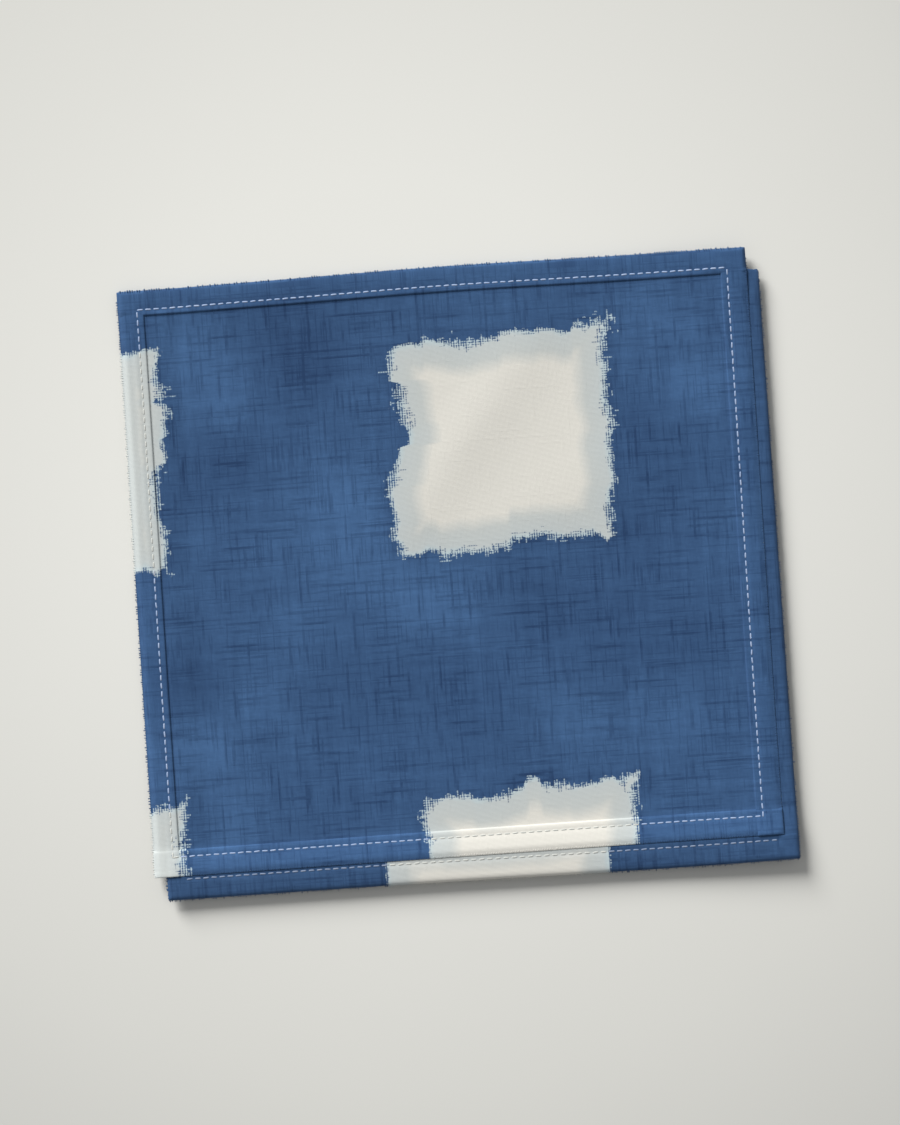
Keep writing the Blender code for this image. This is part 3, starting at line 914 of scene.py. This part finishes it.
def indigo_cotton():
    """Plain-weave cotton, resist dyed in an indigo vat.

    The dye creeps a different way along each thread, so the squares' edges are combed and
    crossed, not drawn. Thicker slubs take more dye and show as short dark dashes along both sets
    of threads. The undyed cloth is cream, and cooler where a little dye has reached its rim.
    """
    material, shader, add = new_material("indigo_cotton")
    count = add("UVMap", uv_map="threads")
    ends = add("SeparateXYZ", [count], "X")
    picks = add("SeparateXYZ", [count], "Y")
    end = add("Math FLOOR", [ends])
    pick = add("Math FLOOR", [picks])
    both = add("Math ADD", [end, pick])
    warp_up = add("Math FLOORED_MODULO", [both, 2.0])
    inside = add("Attribute", out="Fac", attribute_name="undyed")
    comb = add("Attribute", out="Fac", attribute_name="comb")
    cloud = add("Attribute", out="Fac", attribute_name="clouds")
    # painted light and shade of the hems, the lower layer and the turned threads
    hem = add("Attribute", out="Fac", attribute_name="hem")

    warp_share = add("Math MULTIPLY_ADD", [warp_up, *WARP_SHARE])

    def seen(warp, weft):
        """What is seen of a measure of the warp and of the weft."""
        return add("Mix", {"Factor": warp_share, 2: weft, 3: warp}, data_type="FLOAT")

    def dyed_part(index, along, seed):
        """1 where a thread is dyed: it carries the edge along by up to the comb's length.

        Every second thread, which lies on top more, is dyed a little further.
        """
        creep = strands(add, index, along, seed, 0.83, 13.0, 2.0)
        odd = add("Math FLOORED_MODULO", [index, 2.0])
        creep = add("Math MULTIPLY_ADD", [creep, *CREEP])
        creep = add("Math MULTIPLY_ADD", [odd, ODD_CREEP, creep])
        past = add("Math MULTIPLY", [creep, comb])
        past = add("Math SUBTRACT", [past, inside])
        return add("MapRange", {"Value": past, "From Min": -DYE_STEP, "From Max": DYE_STEP},
                   interpolation_type="SMOOTHSTEP")

    def slub_part(index, along, seed, length, low, high):
        """1 on a slub, and fading towards its ends."""
        slub = strands(add, index, along, seed, 0.71, length, 0.0)
        return add("MapRange", {"Value": slub, "From Min": low, "From Max": high},
                   interpolation_type="SMOOTHSTEP")

    dyed = seen(dyed_part(end, picks, 3.7), dyed_part(pick, ends, 17.3))
    end_pair = add("Math FLOOR", [add("Math MULTIPLY", [ends, 0.5])])
    pick_pair = add("Math FLOOR", [add("Math MULTIPLY", [picks, 0.5])])
    coarse = add("Math MAXIMUM", [slub_part(end_pair, picks, 31.9, 40.0, 0.68, 0.82),
                                  slub_part(pick_pair, ends, 47.1, 60.0, 0.68, 0.82)])
    light = add("Math MAXIMUM", [slub_part(end, picks, 83.3, 36.0, 0.66, 0.78),
                                 slub_part(pick, ends, 95.9, 56.0, 0.66, 0.78)])
    fine = seen(strands(add, end, picks, 61.3, 0.93, 9.0, 2.0),
                strands(add, pick, ends, 71.9, 0.93, 9.0, 2.0))
    band = seen(strands(add, ends, picks, 11.3, 0.12, 70.0, 2.0),
                strands(add, picks, ends, 21.9, 0.12, 70.0, 2.0))

    # The vat's colour is a little deeper just outside an undyed square.
    beside = add("MapRange", {"Value": inside, "From Min": BESIDE[0], "From Max": BESIDE[1]})
    tone = add("Math MULTIPLY_ADD", [cloud, *TONE])
    # Each part's share in the tone, and the value of it that leaves the tone as it is.
    for part, amount, middle in ((fine, 0.36, 0.5), (band, 0.60, 0.5), (coarse, -0.20, 0.0),
                                 (light, -0.15, 0.0), (beside, -0.12, 0.0)):
        centred = add("Math SUBTRACT", [part, middle])
        tone = add("Math MULTIPLY_ADD", [centred, amount, tone])
    blue = add("ValToRGB", [tone], stops=((0.0, "1e3a60"), (0.5, "36567f"), (1.0, "4a709f")))

    patchy = strands(add, ends, picks, 5.5, 0.03, 33.0, 2.0)
    rim = add("Math MULTIPLY_ADD", [patchy, PATCHY, inside])
    rim = add("MapRange", {"Value": rim, "From Min": RIM[0], "From Max": RIM[1]})
    pale = add("ValToRGB", [rim], stops=((0.0, "bbd1dc"), (0.22, "b9c9ce"), (0.36, "bec4c4"),
                                         (0.70, "c0c4c2"), (1.0, "dad7cf")))
    shade = add("Math MULTIPLY_ADD", [fine, 0.05, 0.975])
    pale = add("Mix", {"Factor": 1.0, 6: pale, 7: shade}, 2, data_type="RGBA", blend_type="MULTIPLY")
    # Painted light and shade: the blue is made up to 10 % paler on the hems that face the lamp, and
    # darker on the shaded lower layer and turned threads.
    painted_shading = add("Math MULTIPLY_ADD", [hem, 0.10, 1.0])
    blue = add("Mix", {"Factor": 1.0, 6: blue, 7: painted_shading}, 2, data_type="RGBA", blend_type="MULTIPLY")
    colour = add("Mix", {"Factor": dyed, 6: pale, 7: blue}, 2, data_type="RGBA")

    def back(value):
        """The round back of a thread: a half sine across its spacing."""
        part = add("Math FRACT", [value])
        return add("Math SINE", [add("Math MULTIPLY", [part, math.pi])])

    crossing = add("Math MULTIPLY", [back(ends), back(picks)])
    crossing = add("Math POWER", [crossing, 0.5])
    height = add("Math MULTIPLY", [crossing, WEAVE_RELIEF])
    height = add("Math MULTIPLY_ADD", [fine, FINE_RELIEF, height])
    height = add("Math MULTIPLY_ADD", [coarse, SLUB_RELIEF, height])
    place = add("TexCoord", out="Object")
    rumple = add("TexNoise", {"Vector": place, "Scale": 55.0, "Detail": 3.0, "Roughness": 0.5})
    height = add("Math MULTIPLY_ADD", [rumple, RUMPLE_RELIEF, height])
    normal = add("Bump", {"Height": height, "Strength": 1.0, "Distance": MM})
    finish(material, shader, colour, normal, roughness=0.88, specular=0.25, sheen=0.06)
    return material


def finish(material, shader, colour, normal, roughness, specular, sheen=0.0):
    """Links colour and normal to a material's shader and sets its other values."""
    links = material.node_tree.links
    links.new(colour, shader.inputs["Base Color"])
    if normal is not None:
        links.new(normal, shader.inputs["Normal"])
    shader.inputs["Roughness"].default_value = roughness
    shader.inputs["Specular IOR Level"].default_value = specular
    shader.inputs["Sheen Weight"].default_value = sheen


def sewing_thread():
    """Two-ply cotton sewing thread, dyed with the cloth: a pale blue grey, and grey where undyed.
    On the lower layer it is painted darker, as shade.
    """
    material, shader, add = new_material("sewing_thread")
    place = add("TexCoord", out="Object")
    tuft = add("TexNoise", {"Vector": place, "Scale": 300.0, "Detail": 2.0})
    dipped = add("Mix", {"Factor": tuft, 6: linear("839cc4"), 7: linear("b0bcd4")}, 2,
                 data_type="RGBA")
    inside = add("Attribute", out="Fac", attribute_name="undyed")
    undyed = add("MapRange", {"Value": inside, "From Min": -0.6, "From Max": 0.6})
    hem = add("Attribute", out="Fac", attribute_name="hem")
    # Painted shade: stitches on the lower layer, in the upper one's shade, are made darker.
    deeper = add("Math MINIMUM", [hem, 0.0])
    deeper = add("Math MULTIPLY_ADD", [deeper, 0.3, 1.0])
    dipped = add("Mix", {"Factor": 1.0, 6: dipped, 7: deeper}, 2, data_type="RGBA",
                 blend_type="MULTIPLY")
    colour = add("Mix", {"Factor": undyed, 6: dipped, 7: linear("c4c5c0")}, 2, data_type="RGBA")
    ply = add("TexWave", {"Vector": place, "Scale": 420.0, "Distortion": 1.0},
              wave_type="BANDS", bands_direction="DIAGONAL")
    normal = add("Bump", {"Height": ply, "Strength": 0.5, "Distance": 0.05 * MM})
    finish(material, shader, colour, normal, roughness=0.75, specular=0.3)
    return material


def painted_board():
    """Matt painted board: an even warm grey, faintly mottled, with painted shade that makes it a little
    darker towards its rim.
    """
    material, shader, add = new_material("painted_board")
    place = add("TexCoord", out="Object")
    mottle = add("TexNoise", {"Vector": place, "Scale": 6.0, "Detail": 3.0})
    # Painted shade: the colour darkens with the distance from the middle of the painted pool of light.
    away = add("VectorMath DISTANCE", [place, LIT_BOARD_MIDDLE], "Value")
    spread = add("Math MULTIPLY", [away, 1.0 / BOARD_LIGHT_FALLOFF])
    spread = add("Math MULTIPLY_ADD", [mottle, 0.06, spread])
    colour = add("ValToRGB", [spread], stops=((0.0, "e9e8e3"), (0.35, "e4e3de"),
                                              (0.7, "d7d6d1"), (1.0, "c6c5c1")))
    finish(material, shader, colour, None, roughness=0.9, specular=0.15)
    return material


# ---- floor, light and camera ----

# The board's painted light: palest at a middle, darker towards the rim over this distance.
LIT_BOARD_MIDDLE = (-0.02, 0.04, 0.0)  # middle of the painted pool of light, where the board is palest
BOARD_LIGHT_FALLOFF = 0.34
FLOOR_HALF = 2.5  # half the board's width
VIEW_ROLL = math.radians(-4.05)  # the cloth lies turned a little in the view
VIEW_TALL = 416.25 * MM  # what the view takes in from top to bottom
VIEW_FOCUS = 100.0  # focal length and sensor in millimetres
VIEW_SENSOR = 36.0
VIEW_ACROSS = 115.9 * MM  # the place on the cloth that the view centres on
VIEW_REACH = 108.4 * MM
KEY_DIRECTION = (-0.50, 0.866, 0.0)
KEY_ELEVATION = math.radians(25.5)
KEY_DISTANCE = 12.0
KEY_SIZE = 6.0
KEY_WATTS = 2410.0
SKY_STRENGTH = 0.325


def lay_floor():
    """A flat board that reaches well past the view."""
    corners = FLOOR_HALF * np.array([[-1, -1, 0], [1, -1, 0], [1, 1, 0], [-1, 1, 0]])
    points = corners + [0.0, 0.0, cad_box[0][2]]
    floor = new_piece("floor", points, [np.array([[0, 1, 2, 3]])], painted_board())


def light_up():
    """A soft round light far off at the upper left, not high, and an even pale sky."""
    aim = Vector(KEY_DIRECTION).normalized() * math.cos(KEY_ELEVATION)
    aim.z = math.sin(KEY_ELEVATION)
    data = bpy.data.lights.new("key", "AREA")
    data.shape = "DISK"
    data.size = KEY_SIZE
    data.energy = KEY_WATTS
    data.color = linear("fffffd")[:3]
    key = bpy.data.objects.new("key", data)
    key.location = aim * KEY_DISTANCE
    key.rotation_euler = aim.to_track_quat("Z", "Y").to_euler()
    bpy.context.scene.collection.objects.link(key)
    world = bpy.data.worlds.new("sky")
    world.use_nodes = True
    sky = world.node_tree.nodes["Background"]
    sky.inputs["Color"].default_value = linear("fbfdff")
    sky.inputs["Strength"].default_value = SKY_STRENGTH
    bpy.context.scene.world = world
    bpy.context.scene.view_settings.view_transform = "Standard"


def set_camera(shift):
    """A long lens straight above, turned so that the cloth lies as it should in the view."""
    data = bpy.data.cameras.new("camera")
    data.lens = VIEW_FOCUS
    data.sensor_width = VIEW_SENSOR
    data.sensor_fit = "AUTO"
    data.clip_end = 20.0
    camera = bpy.data.objects.new("camera", data)
    height = VIEW_TALL * VIEW_FOCUS / VIEW_SENSOR
    camera.location = (VIEW_ACROSS + shift[0], -VIEW_REACH + shift[1], height)
    camera.rotation_euler = (0.0, 0.0, VIEW_ROLL)
    bpy.context.scene.collection.objects.link(camera)
    bpy.context.scene.camera = camera


# ---- the scene ----

cotton = indigo_cotton()
sheet, shift = cloth_sheet(cotton)
sewing = stitches(shift, sewing_thread())
turned_threads = edge_threads(shift, cotton)
rolled_threads = fold_threads(shift, cotton)

for piece in (sheet, sewing, turned_threads, rolled_threads):
    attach(piece, "root")
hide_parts("cloth")

lay_floor()
light_up()
set_camera(shift)
